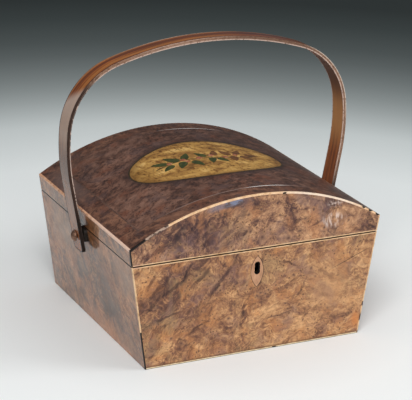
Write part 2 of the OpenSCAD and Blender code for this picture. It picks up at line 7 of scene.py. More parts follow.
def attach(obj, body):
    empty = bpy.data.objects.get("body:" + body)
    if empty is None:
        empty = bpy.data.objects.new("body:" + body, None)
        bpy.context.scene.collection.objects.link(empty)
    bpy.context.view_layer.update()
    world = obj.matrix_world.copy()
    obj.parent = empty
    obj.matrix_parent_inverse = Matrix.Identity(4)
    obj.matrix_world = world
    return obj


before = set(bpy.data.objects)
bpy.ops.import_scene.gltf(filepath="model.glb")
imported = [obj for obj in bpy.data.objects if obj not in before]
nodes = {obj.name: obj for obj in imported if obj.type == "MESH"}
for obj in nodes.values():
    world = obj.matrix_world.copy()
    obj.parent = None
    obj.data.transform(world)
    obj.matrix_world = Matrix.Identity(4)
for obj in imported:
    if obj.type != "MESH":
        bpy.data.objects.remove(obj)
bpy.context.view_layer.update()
scene = bpy.context.scene
scene.view_settings.view_transform = "Standard"
frontY = -0.105  # front face of case and lid
keyholeZ = 0.0778  # middle of the keyhole
noDepth = (1, 1000, 1)  # a reach that takes y out of a distance
slipLossAndShade = (0.012, 0.008, 0.007)  # gaps painted dark as shade, also chips and lost stringing
print("frame loaded:", len(nodes), "pieces")


# camera, at the photograph's angle
photoView = {
    "azimuth": -26.256, "elevation": 19.709, "roll": 1.7104, "distance": 1.6654,
    "target": (0.0009, 0.0005, 0.1044), "lens": 161.09, "sensor": 36, "clipEnd": 30,
}


def placeCamera(view):
    az, el, roll = (math.radians(view[k]) for k in ("azimuth", "elevation", "roll"))
    back = Vector((math.sin(az) * math.cos(el), -math.cos(az) * math.cos(el), math.sin(el)))
    right = Vector((math.cos(az), math.sin(az), 0))
    up = back.cross(right)
    across = right * math.cos(roll) + up * math.sin(roll)
    upward = up * math.cos(roll) - right * math.sin(roll)
    bpy.ops.object.camera_add()
    camera = bpy.context.object
    camera.name = "photo_camera"
    turn = Matrix((across, upward, back)).transposed().to_4x4()
    camera.matrix_world = Matrix.Translation(Vector(view["target"]) + back * view["distance"]) @ turn
    camera.data.lens = view["lens"]
    camera.data.sensor_width = view["sensor"]
    camera.data.clip_end = view["clipEnd"]
    scene.camera = camera


placeCamera(photoView)


# node helpers shared by all finishes
def plug(socket, value):
    if isinstance(value, bpy.types.NodeSocket):
        socket.id_data.links.new(value, socket)
    elif hasattr(value, "__len__") and socket.type == "RGBA" and len(value) == 3:
        socket.default_value = (*value, 1)
    else:
        socket.default_value = value


def addNode(tree, kind, values, **settings):
    node = tree.nodes.new("ShaderNode" + kind)
    for key, value in settings.items():
        setattr(node, key, value)
    for key, value in values.items():
        plug(node.inputs[key], value)
    return node


def startFinish(name, roughness=0.4, coat=0.0, coatRoughness=0.1, metallic=0.0, specular=0.5):
    finish = bpy.data.materials.new(name)
    finish.use_nodes = True
    tree = finish.node_tree
    tree.nodes.clear()
    skin = addNode(tree, "BsdfPrincipled", {"Roughness": roughness, "Coat Weight": coat, "Metallic": metallic,
                                            "Coat Roughness": coatRoughness, "Specular IOR Level": specular})
    addNode(tree, "OutputMaterial", {"Surface": skin.outputs["BSDF"]})
    return finish, tree, skin, addNode(tree, "TexCoord", {}).outputs["Object"]


def cover(tree, skin, colour, height, bump, depth, rough=None):
    relief = addNode(tree, "Bump", {"Strength": bump, "Distance": depth, "Height": height})
    plug(skin.inputs["Normal"], relief.outputs["Normal"])
    plug(skin.inputs["Base Color"], colour)
    if rough is not None:
        plug(skin.inputs["Roughness"], rough)


def laidOut(tree, place, at=(0, 0, 0), turn=(0, 0, 0), reach=(1, 1, 1)):
    turn = [math.radians(a) for a in turn]
    node = addNode(tree, "Mapping", {"Vector": place, "Location": at, "Rotation": turn, "Scale": reach},
                   vector_type="TEXTURE")
    return node.outputs["Vector"]


def apart(tree, place):
    node = addNode(tree, "SeparateXYZ", {0: place})
    return [node.outputs[axis] for axis in "XYZ"]


def noise(tree, place, scale, detail=3, roughness=0.5, distortion=0.0, out="Fac"):
    node = addNode(tree, "TexNoise", {"Vector": place, "Scale": scale, "Detail": detail, "Roughness": roughness,
                                      "Distortion": distortion})
    return node.outputs[out]


def cells(tree, place, scale, out="Distance", flat=False):
    node = addNode(tree, "TexVoronoi", {"Vector": place, "Scale": scale}, voronoi_dimensions="2D" if flat else "3D")
    return node.outputs[out]


def sums(tree, how, a, b=0.0, clamp=False):
    return addNode(tree, "Math", {0: a, 1: b}, operation=how, use_clamp=clamp).outputs[0]


def plus(tree, a, b):
    return sums(tree, "ADD", a, b)


def minus(tree, a, b):
    return sums(tree, "SUBTRACT", a, b)


def times(tree, a, b):
    return sums(tree, "MULTIPLY", a, b)


def swayed(tree, base, value, share):  # a noise's ups and downs, added to a base
    return plus(tree, base, times(tree, minus(tree, value, 0.5), share))


def chosen(tree, share, a, b):
    return plus(tree, times(tree, b, share), times(tree, a, minus(tree, 1.0, share)))


def vectors(tree, how, a, b=(0, 0, 0)):
    return addNode(tree, "VectorMath", {0: a, 1: b}, operation=how).outputs["Vector"]


def far(tree, place):  # distance from the origin
    return addNode(tree, "VectorMath", {0: place}, operation="LENGTH").outputs["Value"]


def shaken(tree, spread, place, scale, reach):  # a pattern pushed about by noise
    push = vectors(tree, "SUBTRACT", noise(tree, place, scale, 2, out="Color"), (0.5, 0.5, 0.5))
    push = addNode(tree, "VectorMath", {0: push, "Scale": reach}, operation="SCALE").outputs["Vector"]
    return vectors(tree, "ADD", spread, push)


def step(tree, value, low, high, start=0.0, finish=1.0):
    node = addNode(tree, "MapRange", {"Value": value, "From Min": low, "From Max": high, "To Min": start,
                                      "To Max": finish}, interpolation_type="SMOOTHSTEP")
    return node.outputs["Result"]


def worn(tree, value, rough):  # roughness between two limits
    return step(tree, value, 0.3, 0.7, *rough)


def tones(tree, value, stops):
    node = addNode(tree, "ValToRGB", {"Fac": value})
    ramp = node.color_ramp
    while len(ramp.elements) < len(stops):
        ramp.elements.new(1)
    for element, (at, colour) in zip(ramp.elements, stops):
        element.position = at
        element.color = (*colour, 1)
    return node.outputs["Color"]


def mixed(tree, share, a, b, how="MIX"):
    return addNode(tree, "Mix", {0: share, 6: a, 7: b}, data_type="RGBA", blend_type=how).outputs[2]


# a soft ellipsoid on the surface, for shades and marks; dark where no colour is given
def spot(at, reach, **more):
    usual = {"turn": (0, 0, 0), "soft": 0.4, "strength": 1.0, "how": "MIX", "colour": slipLossAndShade,
             "wander": None, "torn": None, "tornReach": (1, 1, 1), "tornAt": (0.45, 0.6)}
    return {**usual, "at": at, "reach": reach, **more}


def markMask(tree, place, mark):
    local = laidOut(tree, place, mark["at"], mark["turn"], mark["reach"])
    if mark["wander"]:  # noise scale, reach
        local = shaken(tree, local, place, *mark["wander"])
    share = step(tree, far(tree, local), 1.0 - mark["soft"], 1.0, mark["strength"], 0.0)
    if mark["torn"]:  # noise scale
        speckle = noise(tree, laidOut(tree, place, reach=mark["tornReach"]), mark["torn"], roughness=0.6)
        share = times(tree, share, step(tree, speckle, *mark["tornAt"]))
    return share


def withMarks(tree, place, colour, marks):
    for mark in marks:
        colour = mixed(tree, markMask(tree, place, mark), colour, mark["colour"], mark["how"])
    return colour


def dress(finish, *names):
    for name in names:
        slots = nodes[name].material_slots
        if not slots:
            nodes[name].data.materials.append(finish)
        for slot in slots:
            slot.material = finish


# burr veneer: warped clouds, flowing streaks, clusters of small eyes, fine fibre and an old polish
burr = {  # the same on every sheet
    # detail, roughness and distortion of each noise
    "cloud": (6, 0.68, 0.3), "streak": (5, 0.6, 0.2), "fibre": (3, 0.65), "curl": (4, 0.7, 1.2), "broad": (2, 0.5),
    "swirl": (1.5, 0.5, 0.8), "tint": (3, 0.62), "cluster": (3, 0.6), "sheen": (4, 0.65), "sheenScale": 60,
    # where each effect sets in and is full
    "streakyAt": (0.38, 0.62), "ringAt": (0.36, 0.6), "tintFade": 0.16, "clusterFade": 0.08, "fleckAt": (0.44, 0.56),
    "veinCore": 0.004, "veinIn": (0.42, 0.58), "wispAt": 0.47, "wispWide": (0.003, 0.022),
    # finer patterns, as multiples of a sheet's own
    "ringFiner": 2.3, "ringLeast": 0.2, "clumpFiner": 1.7, "fleckFiner": 1.9,
    # eyes: growth, dark core, sharp cut, and the sizes of halo and fleck
    "eyeGrowth": (0.0, 0.45, 0.35, 1.0), "eyeCore": 0.25, "eyeCut": (-0.01, 0.01), "haloSize": 0.62, "fleckSize": 0.26,
    "fibreTones": [(0.32, (0.34, 0.26, 0.24)), (0.5, (1, 1, 1)), (0.72, (1.0, 0.97, 0.9))],
    # lines and knots: factors on half length and half width, softness, depth; rings by size, softness, share, colour
    "lineLong": 1.1, "lineWide": 1.3, "lineSoft": 0.7, "deep": 0.02,
    "knotRings": [(4.2, 0.8, 0.3, "haloColour"), (2.5, 0.7, 0.55, "knotColour"), (1.2, 0.7, 0.75, "eyeColour")],
    "fibreHeight": 0.5, "eyeHeight": 0.6, "bumpDepth": 0.0003,
}


def burrEyes(tree, flat, scale, size, share):
    grown = minus(tree, cells(tree, flat, scale, "Color", True), 1.0 - share)
    wide = times(tree, step(tree, grown, *burr["eyeGrowth"]), size)
    spread = cells(tree, flat, scale, flat=True)
    eye = step(tree, spread, times(tree, wide, burr["eyeCore"]), wide, 1, 0)
    return times(tree, eye, step(tree, grown, *burr["eyeCut"]))


def burrGrain(tree, bent, look, turn):
    return [noise(tree, laidOut(tree, bent, turn=turn, reach=look[kind + "Reach"]), look[kind + "Scale"],
                  *burr[kind]) for kind in ("streak", "fibre")]


def burrDepth(tree, place, own, eased, look, cloud, streak, curl):  # how light the wood is
    where = step(tree, noise(tree, own, look["whereScale"], 1), *burr["streakyAt"], *look["streaky"])
    depth = swayed(tree, 0.5, chosen(tree, where, cloud, streak), look["contrast"])
    depth = swayed(tree, depth, curl, look["curl"])
    depth = swayed(tree, depth, noise(tree, own, look["broadScale"], *burr["broad"]), look["broad"])
    swirl = noise(tree, eased, look["swirlScale"], *burr["swirl"])
    rings = sums(tree, "SINE", times(tree, swirl, look["rings"]))
    patch = noise(tree, own, look["whereScale"] * burr["ringFiner"], 2)
    share = step(tree, patch, *burr["ringAt"], look["ring"] * burr["ringLeast"], look["ring"])
    depth = plus(tree, depth, times(tree, rings, share))
    for shade in look["shades"]:
        depth = plus(tree, depth, markMask(tree, place, shade))
    return depth


def burrLines(tree, near, colour, look):  # single dark streaks and knots
    for x, z, half, angle, wide in look["lines"]:
        reach = (burr["lineLong"] * half / 1000, burr["deep"], burr["lineWide"] * wide / 1000)
        line = spot((x / 1000, frontY, z / 1000), reach, turn=(0, -angle, 0), soft=burr["lineSoft"],
                    strength=look["line"])
        colour = mixed(tree, markMask(tree, near, line), colour, look["lineColour"], "MULTIPLY")
    for x, z, wide in look["knots"]:
        for grown, soft, share, tone in burr["knotRings"]:
            size = grown * wide / 1000
            knot = spot((x / 1000, frontY, z / 1000), (size, burr["deep"], size), soft=soft, strength=share)
            colour = mixed(tree, markMask(tree, near, knot), colour, look[tone])
    return colour


def burrVeneer(name, look):
    finish, tree, skin, place = startFinish(name, coat=look["polish"], coatRoughness=look["polishBlur"],
                                            specular=look["shine"])
    own = vectors(tree, "ADD", place, look["from"])
    eased = shaken(tree, own, own, look["quickScale"], look["quick"])
    bent = shaken(tree, eased, own, look["slowScale"], look["slow"])
    cloud = noise(tree, bent, look["cloudScale"], *burr["cloud"])
    curl = noise(tree, bent, look["curlScale"], *burr["curl"])
    streak, fibre = burrGrain(tree, bent, look, look["turn"])
    if look["lay"]:  # the grain lies another way on part of the sheet
        share = markMask(tree, place, look["lay"])
        other = burrGrain(tree, bent, look, look["layTurn"])
        streak, fibre = (chosen(tree, share, a, b) for a, b in zip((streak, fibre), other))
    colour = tones(tree, burrDepth(tree, place, own, eased, look, cloud, streak, curl), look["tones"])
    for scale, start, strength, tint in look["tints"]:
        patch = noise(tree, bent, scale, *burr["tint"])
        colour = mixed(tree, step(tree, patch, start, start + burr["tintFade"], 0, strength), colour, tint)
    vein = sums(tree, "ABSOLUTE", minus(tree, streak, look["veinAt"]))
    vein = times(tree, step(tree, vein, burr["veinCore"], look["veinWide"], look["vein"], 0),
                 step(tree, cloud, *burr["veinIn"], 1, 0))
    colour = mixed(tree, vein, colour, look["eyeColour"])
    wisp = sums(tree, "ABSOLUTE", minus(tree, curl, burr["wispAt"]))
    colour = mixed(tree, step(tree, wisp, *burr["wispWide"], look["wisp"], 0), colour, look["wispColour"])
    colour = mixed(tree, look["fibre"], colour, tones(tree, fibre, burr["fibreTones"]), "MULTIPLY")
    clusters = noise(tree, bent, look["clusterScale"], *burr["cluster"])
    clusters = step(tree, clusters, look["clusterFrom"], look["clusterFrom"] + burr["clusterFade"])
    clumps = step(tree, noise(tree, own, look["clusterScale"] * burr["clumpFiner"], 2), *burr["fleckAt"])
    flat = laidOut(tree, eased, turn=look["face"])
    eyes = []  # halos, eyes and flecks
    for scale, size, within, share, tone in (
            (look["eyeScale"], burr["haloSize"], clusters, look["halo"], look["haloColour"]),
            (look["eyeScale"], look["eyeSize"], clusters, look["eye"], look["eyeColour"]),
            (look["eyeScale"] * burr["fleckFiner"], burr["fleckSize"], clumps, look["fleck"], look["eyeColour"])):
        eyes.append(times(tree, burrEyes(tree, flat, scale, size, look["grown"]), within))
        colour = mixed(tree, times(tree, eyes[-1], share), colour, tone)
    colour = burrLines(tree, vectors(tree, "SUBTRACT", eased, look["from"]), colour, look)
    colour = withMarks(tree, place, colour, look["marks"])
    rough = worn(tree, noise(tree, place, burr["sheenScale"], *burr["sheen"]), look["rough"])
    height = minus(tree, times(tree, fibre, burr["fibreHeight"]), times(tree, eyes[1], burr["eyeHeight"]))
    cover(tree, skin, colour, height, look["bump"], burr["bumpDepth"], rough)
    return finish


# tints: noise scale, where it sets in, strength, colour
# lines: x, z, half length, angle and half width in mm; knots: x, z and size in mm
frontLook = {
    "from": (0.013, 0, 0.021), "turn": (0, -48, 0), "streakReach": (2.6, 1, 1), "face": (90, 0, 0), "slowScale": 24,
    "slow": 0.022, "quickScale": 120, "quick": 0.006, "contrast": 0.98, "curlScale": 170, "curl": 0.46, "wisp": 0.32,
    "wispColour": (0.16, 0.075, 0.052), "swirlScale": 40, "rings": 95, "ring": 0.05, "cloudScale": 74,
    "streakScale": 74, "whereScale": 14, "streaky": (0.1, 0.8), "broadScale": 9, "broad": 0.2,
    "tones": [(0.32, (0.10, 0.042, 0.028)), (0.43, (0.24, 0.107, 0.056)), (0.51, (0.41, 0.2, 0.09)),
              (0.64, (0.66, 0.37, 0.172))],
    "veinAt": 0.45, "veinWide": 0.024, "vein": 0.6, "fibreReach": (3.2, 1, 1), "fibreScale": 360, "fibre": 0.6,
    "layTurn": (0, -6, 0), "lay": spot((0.06, frontY, 0.045), (0.1, 0.05, 0.1), soft=0.6),
    "clusterScale": 42, "clusterFrom": 0.46, "grown": 0.66, "eyeScale": 235, "eyeSize": 0.31, "eye": 0.88,
    "eyeColour": (0.085, 0.036, 0.024), "halo": 0.4, "haloColour": (0.52, 0.27, 0.12), "fleck": 0.6,
    "tints": [(38, 0.5, 0.6, (0.22, 0.115, 0.095)), (47, 0.5, 0.55, (0.58, 0.24, 0.075)),
              (33, 0.53, 0.5, (0.34, 0.22, 0.105)), (95, 0.52, 0.35, (0.19, 0.1, 0.085))],
    "polish": 0.15, "polishBlur": 0.16, "shine": 0.3, "rough": (0.32, 0.5), "bump": 0.12,
    "shades": [
        spot((-0.085, frontY, 0.06), (0.075, 0.05, 0.036), turn=(0, -50, 0), soft=0.95, strength=-0.14),
        spot((0.075, frontY, 0.05), (0.06, 0.05, 0.05), soft=0.95, strength=0.07),
        spot((0.086, frontY, 0.02), (0.03, 0.05, 0.02), soft=0.95, strength=-0.08),
    ],
    "line": 0.9, "lineColour": (0.4, 0.36, 0.42), "knotColour": (0.13, 0.064, 0.05),
    "lines": [(-95, 60, 20, 48, 2.4), (-89, 76, 22, 42, 2.0), (-78, 72, 22, 33, 1.6), (-35, 71, 22, 48, 2.2),
              (-52, 78, 14, 42, 2.6), (-66, 84, 12, 55, 2.0), (-99, 80, 11, 60, 2.2), (-41, 62, 12, 52, 1.2),
              (-84, 46, 16, 12, 1.3), (-58, 30, 14, 30, 1.2), (4, 66, 10, 70, 1.4), (30, 78, 12, -20, 1.2),
              (44, 52, 12, 60, 1.6), (70, 62, 14, -35, 1.8), (22, 30, 16, 10, 1.2), (-12, 40, 12, 75, 1.4)],
    "knots": [(1, 52, 0.9), (4, 55, 0.7), (8, 53, 0.7), (12, 56, 0.8), (-58, 80, 1.0), (-54, 81, 0.8), (-26, 34, 0.9),
              (-47, 24, 0.8), (36, 66, 1.0), (53, 70, 1.1), (58, 61, 0.9), (28, 40, 0.8), (72, 30, 0.9),
              (-80, 25, 0.9), (-70, 18, 0.8), (47, 22, 0.8), (-8, 18, 0.9)],
    "marks": [
        spot((0.074, frontY, 0.05), (0.04, 0.05, 0.045), soft=0.9, strength=0.45, colour=(0.45, 0.23, 0.108)),
        spot((0.0925, frontY, 0.0735), (0.027, 0.02, 0.0005), turn=(0, -21.5, 0), soft=0.7, strength=0.85,
             wander=(60, 1.6), colour=(0.03, 0.015, 0.012)),
        spot((0.101, frontY, 0.014), (0.006, 0.02, 0.011), soft=0.8, strength=0.7, colour=(0.55, 0.19, 0.05)),
        spot((0, 0, 0.0013), (9, 9, 0.0019), soft=0.6, strength=0.6, colour=(0.13, 0.06, 0.025)),
    ],
}
dress(burrVeneer("front_burr_veneer", frontLook), "front_veneer")

lidFrontLook = {
    **frontLook, "from": (0.041, 0, -0.013), "turn": (0, -40, 0), "contrast": 1.2, "line": 0.85,
    "lineColour": (0.44, 0.4, 0.52), "knotColour": (0.105, 0.052, 0.05),
    "layTurn": (0, 8, 0), "lay": spot((0.07, frontY, 0.12), (0.09, 0.05, 0.06), soft=0.6),
    "tones": [(0.31, (0.06, 0.025, 0.024)), (0.42, (0.16, 0.073, 0.05)), (0.52, (0.37, 0.186, 0.1)),
              (0.66, (0.64, 0.36, 0.19))],
    "tints": [(36, 0.5, 0.6, (0.16, 0.092, 0.092)), (47, 0.5, 0.5, (0.52, 0.22, 0.085)),
              (30, 0.53, 0.45, (0.34, 0.21, 0.12))],
    "shades": [
        spot((-0.06, frontY, 0.118), (0.055, 0.05, 0.022), turn=(0, -35, 0), soft=0.95, strength=-0.1),
        spot((0.03, frontY, 0.118), (0.05, 0.05, 0.02), soft=0.95, strength=0.04),
    ],
    "lines": [(-34, 127, 8, 75, 1.3), (-58, 116, 13, 43, 1.6), (-30, 113, 15, 36, 1.8), (-76, 118, 13, 55, 3.4),
              (27, 135, 9, -59, 2.4), (34, 119, 13, -71, 1.8), (-1, 121, 9, 7, 0.9), (17, 118, 11, -19, 0.9),
              (-14, 112, 9, 32, 1.3), (-90, 108, 14, 22, 3.2), (-47, 108, 12, 40, 3.0), (-104, 104, 9, 10, 3.0),
              (56, 112, 10, 25, 1.0), (-22, 124, 7, 60, 1.0), (-62, 124, 8, 38, 1.3)],
    "knots": [(-45, 120, 1.2), (-45, 124, 0.8), (-8, 113, 1.3), (29, 102, 1.3), (5, 105, 1.3), (-10, 128, 0.9),
              (12, 112, 0.9), (20, 124, 0.9), (44, 118, 1.1), (52, 124, 0.9), (40, 106, 0.9), (64, 106, 1.0),
              (-70, 109, 0.9), (88, 110, 0.9), (1, 131, 0.8)],
    "marks": [
        spot((0.0735, frontY, 0.112), (0.015, 0.02, 0.009), soft=0.7, strength=0.95, torn=330, tornReach=(1, 1, 5),
             colour=(0.74, 0.58, 0.5)),
        spot((0.074, frontY, 0.1275), (0.011, 0.02, 0.005), soft=0.9, strength=0.75, torn=420,
             colour=(0.62, 0.47, 0.4)),
        spot((-0.0335, frontY, 0.1388), (0.021, 0.02, 0.0048), turn=(0, -9, 0), soft=0.7, strength=0.75,
             wander=(90, 0.8), colour=(0.2, 0.165, 0.2)),
        spot((-0.0255, frontY, 0.1393), (0.0112, 0.02, 0.0038), turn=(0, -5, 0), strength=0.7, wander=(160, 1.2),
             colour=(0.07, 0.045, 0.045)),
        spot((-0.0265, frontY, 0.1402), (0.0105, 0.02, 0.0034), turn=(0, -5, 0), soft=0.5, strength=0.95,
             wander=(160, 1.2), torn=300, colour=(0.2, 0.215, 0.3)),
        spot((0.0235, frontY, 0.1424), (0.0026, 0.02, 0.0018), torn=700),
    ],
}
dress(burrVeneer("lid_front_burr_veneer", lidFrontLook), "lid_front_veneer")

jointShadow = spot((0, 0, 0.0954), (9, 9, 0.0009), soft=0.5)
endShades = [
    spot((-0.112, -0.03, 0.045), (0.05, 0.034, 0.06), turn=(-32, 0, 0), soft=0.95, strength=-0.11),
    spot((-0.115, 0.07, 0.07), (0.05, 0.07, 0.05), soft=0.95, strength=0.09),
    spot((-0.115, -0.095, 0.075), (0.05, 0.03, 0.035), soft=0.95, strength=0.1),
    spot((-0.106, -0.03, 0.006), (0.05, 0.06, 0.014), soft=0.95, strength=0.16),
]
# pale, smooth places high up, a warm strip along the foot and a dark streak
endMarks = [
    spot((-0.115, 0.055, 0.074), (0.05, 0.06, 0.034), soft=0.95, strength=0.6, colour=(0.33, 0.2, 0.125)),
    spot((-0.115, -0.085, 0.082), (0.05, 0.045, 0.03), soft=0.95, strength=0.6, colour=(0.34, 0.2, 0.125)),
    spot((-0.105, -0.03, 0.006), (0.05, 0.11, 0.018), soft=0.9, strength=0.45, colour=(0.45, 0.17, 0.055)),
    spot((-0.11, -0.045, 0.04), (0.05, 0.024, 0.05), turn=(-32, 0, 0), soft=0.95, strength=0.5,
         colour=(0.09, 0.05, 0.034)),
]
endLook = {
    **frontLook, "from": (0, 0.04, 0.03), "turn": (42, 0, 0), "streakReach": (1, 3, 1), "face": (90, 0, 90),
    "lay": None, "fibreReach": (1, 4, 1), "eye": 0.5, "halo": 0.35, "fleck": 0.3, "clusterFrom": 0.5, "contrast": 1.3,
    "cloudScale": 95, "streakScale": 85, "polish": 0.75, "polishBlur": 0.05, "shades": endShades, "lines": [],
    "knots": [], "marks": endMarks + [jointShadow],
    "tones": [(0.3, (0.07, 0.03, 0.011)), (0.43, (0.15, 0.062, 0.022)), (0.54, (0.3, 0.122, 0.046)),
              (0.66, (0.52, 0.23, 0.095))],
    "tints": [(28, 0.5, 0.5, (0.38, 0.13, 0.042)), (44, 0.52, 0.4, (0.13, 0.08, 0.04)),
              (75, 0.52, 0.4, (0.46, 0.16, 0.045))],
}
dress(burrVeneer("left_end_burr_veneer", endLook), "left_end_veneer", "lid_left_end_veneer")
rightLook = {**endLook, "from": (0, -0.03, 0.05), "turn": (-34, 0, 0), "shades": [], "marks": [jointShadow]}
dress(burrVeneer("right_end_burr_veneer", rightLook), "right_end_veneer", "lid_right_end_veneer")
backLook = {
    **frontLook, "from": (0.2, 0, 0.1), "turn": (0, 35, 0), "lay": None, "shades": [], "lines": [], "knots": [],
    "marks": [jointShadow],
}
dress(burrVeneer("back_burr_veneer", backLook), "back_veneer", "lid_back_veneer")

topLook = {
    **frontLook, "from": (0.02, 0.01, 0), "turn": (0, 0, 24), "streakReach": (2.2, 1, 1), "face": (0, 0, 0),
    "slowScale": 30, "slow": 0.014, "cloudScale": 150, "streakScale": 130, "broadScale": 14, "contrast": 1.3,
    "curl": 0.34, "wisp": 0.2, "lay": None, "fibreScale": 420, "fibre": 0.5, "eyeScale": 330, "eye": 0.7,
    "eyeColour": (0.02, 0.011, 0.01), "halo": 0.35, "haloColour": (0.05, 0.022, 0.018), "fleck": 0.35,
    "wispColour": (0.05, 0.022, 0.018), "rings": 70, "swirlScale": 60, "polish": 0.12, "polishBlur": 0.2,
    "rough": (0.34, 0.52), "bump": 0.14, "lines": [], "knots": [],
    "tones": [(0.28, (0.036, 0.019, 0.0165)), (0.43, (0.088, 0.043, 0.031)), (0.55, (0.158, 0.076, 0.052)),
              (0.72, (0.255, 0.134, 0.094))],
    "tints": [(46, 0.5, 0.6, (0.2, 0.068, 0.036)), (58, 0.5, 0.5, (0.085, 0.056, 0.058)),
              (120, 0.52, 0.4, (0.15, 0.08, 0.056))],
    "shades": [
        spot((-0.07, 0.06, 0.13), (0.07, 0.07, 0.06), soft=0.9, strength=0.12),
        spot((-0.085, -0.055, 0.125), (0.05, 0.06, 0.06), soft=0.9, strength=0.1),
    ],
    "marks": [spot((0, 0, 0.14), (0.084, 0.057, 9), soft=0.17, strength=0.65, colour=(0.022, 0.014, 0.014))],
}
dress(burrVeneer("lid_top_burr_veneer", topLook), "lid_top_veneer")
bandLook = {
    **topLook, "from": (0.11, -0.07, 0), "turn": (0, 0, -12),
    "marks": [spot((-0.112, 0.05, 0.116), (0.014, 0.06, 0.03), soft=0.8, strength=0.55, colour=(0.2, 0.135, 0.12))],
    "tones": [(0.28, (0.044, 0.022, 0.018)), (0.43, (0.1, 0.046, 0.032)), (0.55, (0.175, 0.08, 0.05)),
              (0.72, (0.28, 0.135, 0.082))],
}
dress(burrVeneer("crossband_burr_veneer", bandLook), "lid_crossband")
print("veneers laid")


# stringing: light wood slips, dark where they are lost, stained or replaced
def slipWood(name, look):
    finish, tree, skin, place = startFinish(name, look["rough"], coat=0.05, coatRoughness=0.2, specular=0.2)
    grain = noise(tree, laidOut(tree, place, reach=look["grainReach"]), look["grainScale"], detail=4, roughness=0.6)
    dirt = noise(tree, place, look["dirtScale"], detail=4, roughness=0.7)
    dirt = step(tree, dirt, look["dirtFrom"], look["dirtFrom"] + look["dirtFade"], 0, look["dirt"])
    stops = list(zip(look["toneAt"], look["colours"]))
    colour = mixed(tree, dirt, tones(tree, grain, stops), look["dirtColour"])
    colour = withMarks(tree, place, colour, look["marks"])
    if look["arcs"]:  # a dark line outside two arcs
        off = [far(tree, laidOut(tree, place, at, reach=noDepth)) for at in look["arcs"]]
        colour = mixed(tree, step(tree, sums(tree, "MAXIMUM", *off), *look["arcEdge"]), colour, slipLossAndShade)
    cover(tree, skin, colour, grain, bump=0.15, depth=0.0002)
    return finish


stringLook = {
    "toneAt": (0.3, 0.5, 0.7), "dirtFade": 0.12, "marks": [], "arcs": [], "grainReach": (4, 4, 4), "grainScale": 900,
    "rough": 0.38, "dirtScale": 120, "dirtFrom": 0.6, "dirt": 0.6, "dirtColour": (0.2, 0.1, 0.05),
    "colours": [(0.5, 0.29, 0.15), (0.7, 0.45, 0.25), (0.82, 0.57, 0.35)],
}
archLook = {
    **stringLook, "colours": [(0.6, 0.34, 0.18), (0.84, 0.53, 0.3), (0.95, 0.67, 0.43)],
    "marks": [
        # painted highlight: the right part of the arch whiter
        spot((0.07, frontY, 0.14), (0.06, 0.03, 0.03), soft=0.6, strength=0.6, colour=(0.95, 0.82, 0.7)),
        spot((-0.1, frontY, 0.121), (0.0165, 0.03, 0.03), soft=0.1, strength=0.85, colour=(0.42, 0.3, 0.24)),
        spot((-0.1, frontY, 0.121), (0.0165, 0.03, 0.03), soft=0.1, strength=0.9, torn=300,
             colour=(0.03, 0.017, 0.014)),
        spot((-0.117, frontY, 0.113), (0.0118, 0.03, 0.03), soft=0.08),
        spot((0.0235, frontY, 0.1432), (0.0022, 0.01, 0.001), soft=0.3),
        spot((0.1035, frontY, 0.1205), (0.0026, 0.01, 0.002)),
        spot((0.1105, frontY, 0.1165), (0.003, 0.01, 0.002)),
        spot((0.118, frontY, 0.1125), (0.0032, 0.01, 0.003)),
    ],
}
dress(slipWood("arch_light_slip", archLook), "arch_stringing")
cornerLook = {
    **stringLook,
    "marks": [
        spot((-0.106, frontY, 0.0), (0.02, 0.03, 0.036), soft=0.03),
        spot((0.106, frontY, 0.009), (0.02, 0.03, 0.011), soft=0.3, torn=150, colour=(0.06, 0.03, 0.02)),
        spot((0.109, frontY, 0.028), (0.02, 0.03, 0.0024), soft=0.3, colour=(0.06, 0.03, 0.02)),
    ],
}
dress(slipWood("corner_light_slip", cornerLook), "corner_stringing")
lidCornerLook = {
    **stringLook,
    "marks": [spot((-0.118, frontY, 0.103), (0.03, 0.03, 0.03), soft=0.1)],
}
dress(slipWood("lid_corner_slip", lidCornerLook), "lid_corner_stringing")
rimLook = {
    **stringLook,
    "marks": [
        spot((-0.114, frontY, 0.095), (0.006, 0.03, 0.004), soft=0.6, strength=0.7, colour=(0.6, 0.34, 0.25)),
        # painted shadow in the joint between lid and case
        spot((0, 0, 0.0954), (9, 9, 0.00066), soft=0.2, colour=(0.03, 0.012, 0.003)),
    ],
}
dress(slipWood("rim_light_slip", rimLook), "rim_stringing", "lid_rim_stringing")
baseLook = {
    **stringLook, "dirtFrom": 0.55, "dirt": 0.4,
    "colours": [(0.64, 0.5, 0.3), (0.84, 0.69, 0.45), (0.94, 0.8, 0.56)],
    "marks": [
        # painted contact shadow along the foot of the base stringing
        spot((0, 0, 0), (9, 9, 0.0005), soft=0.3, strength=0.9, colour=(0.11, 0.08, 0.045)),
        spot((0.0196, frontY, 0.001), (0.0022, 0.01, 0.003), soft=0.3),
    ],
}
dress(slipWood("base_light_slip", baseLook), "base_stringing")
endSlipLook = {
    **stringLook, "dirt": 0.5, "colours": [(0.42, 0.2, 0.11), (0.64, 0.34, 0.2), (0.78, 0.47, 0.3)],
    "marks": [spot((-0.12, -0.075, 0.11), (0.02, 0.075, 0.03), soft=0.7, strength=0.7, colour=(0.86, 0.62, 0.5))],
}
dress(slipWood("lid_end_slip", endSlipLook), "lid_end_stringing")
lineLook = {
    **stringLook, "dirtFrom": 0.52, "dirtColour": (0.06, 0.03, 0.024),
    "colours": [(0.07, 0.038, 0.028), (0.115, 0.066, 0.05), (0.18, 0.11, 0.085)],
    "marks": [
        # painted sheen along the front of the line, then two painted highlights
        spot((-0.01, -0.088, 0.135), (0.085, 0.01, 0.05), strength=0.85, colour=(0.28, 0.2, 0.17)),
        spot((0.016, -0.088, 0.144), (0.026, 0.01, 0.02), soft=0.6, strength=0.95, colour=(0.95, 0.9, 0.87)),
        spot((0.024, 0.091, 0.142), (0.044, 0.01, 0.02), soft=0.6, strength=0.95, colour=(0.92, 0.84, 0.8)),
    ],
}
dress(slipWood("crossband_fine_line", lineLook), "crossband_line")
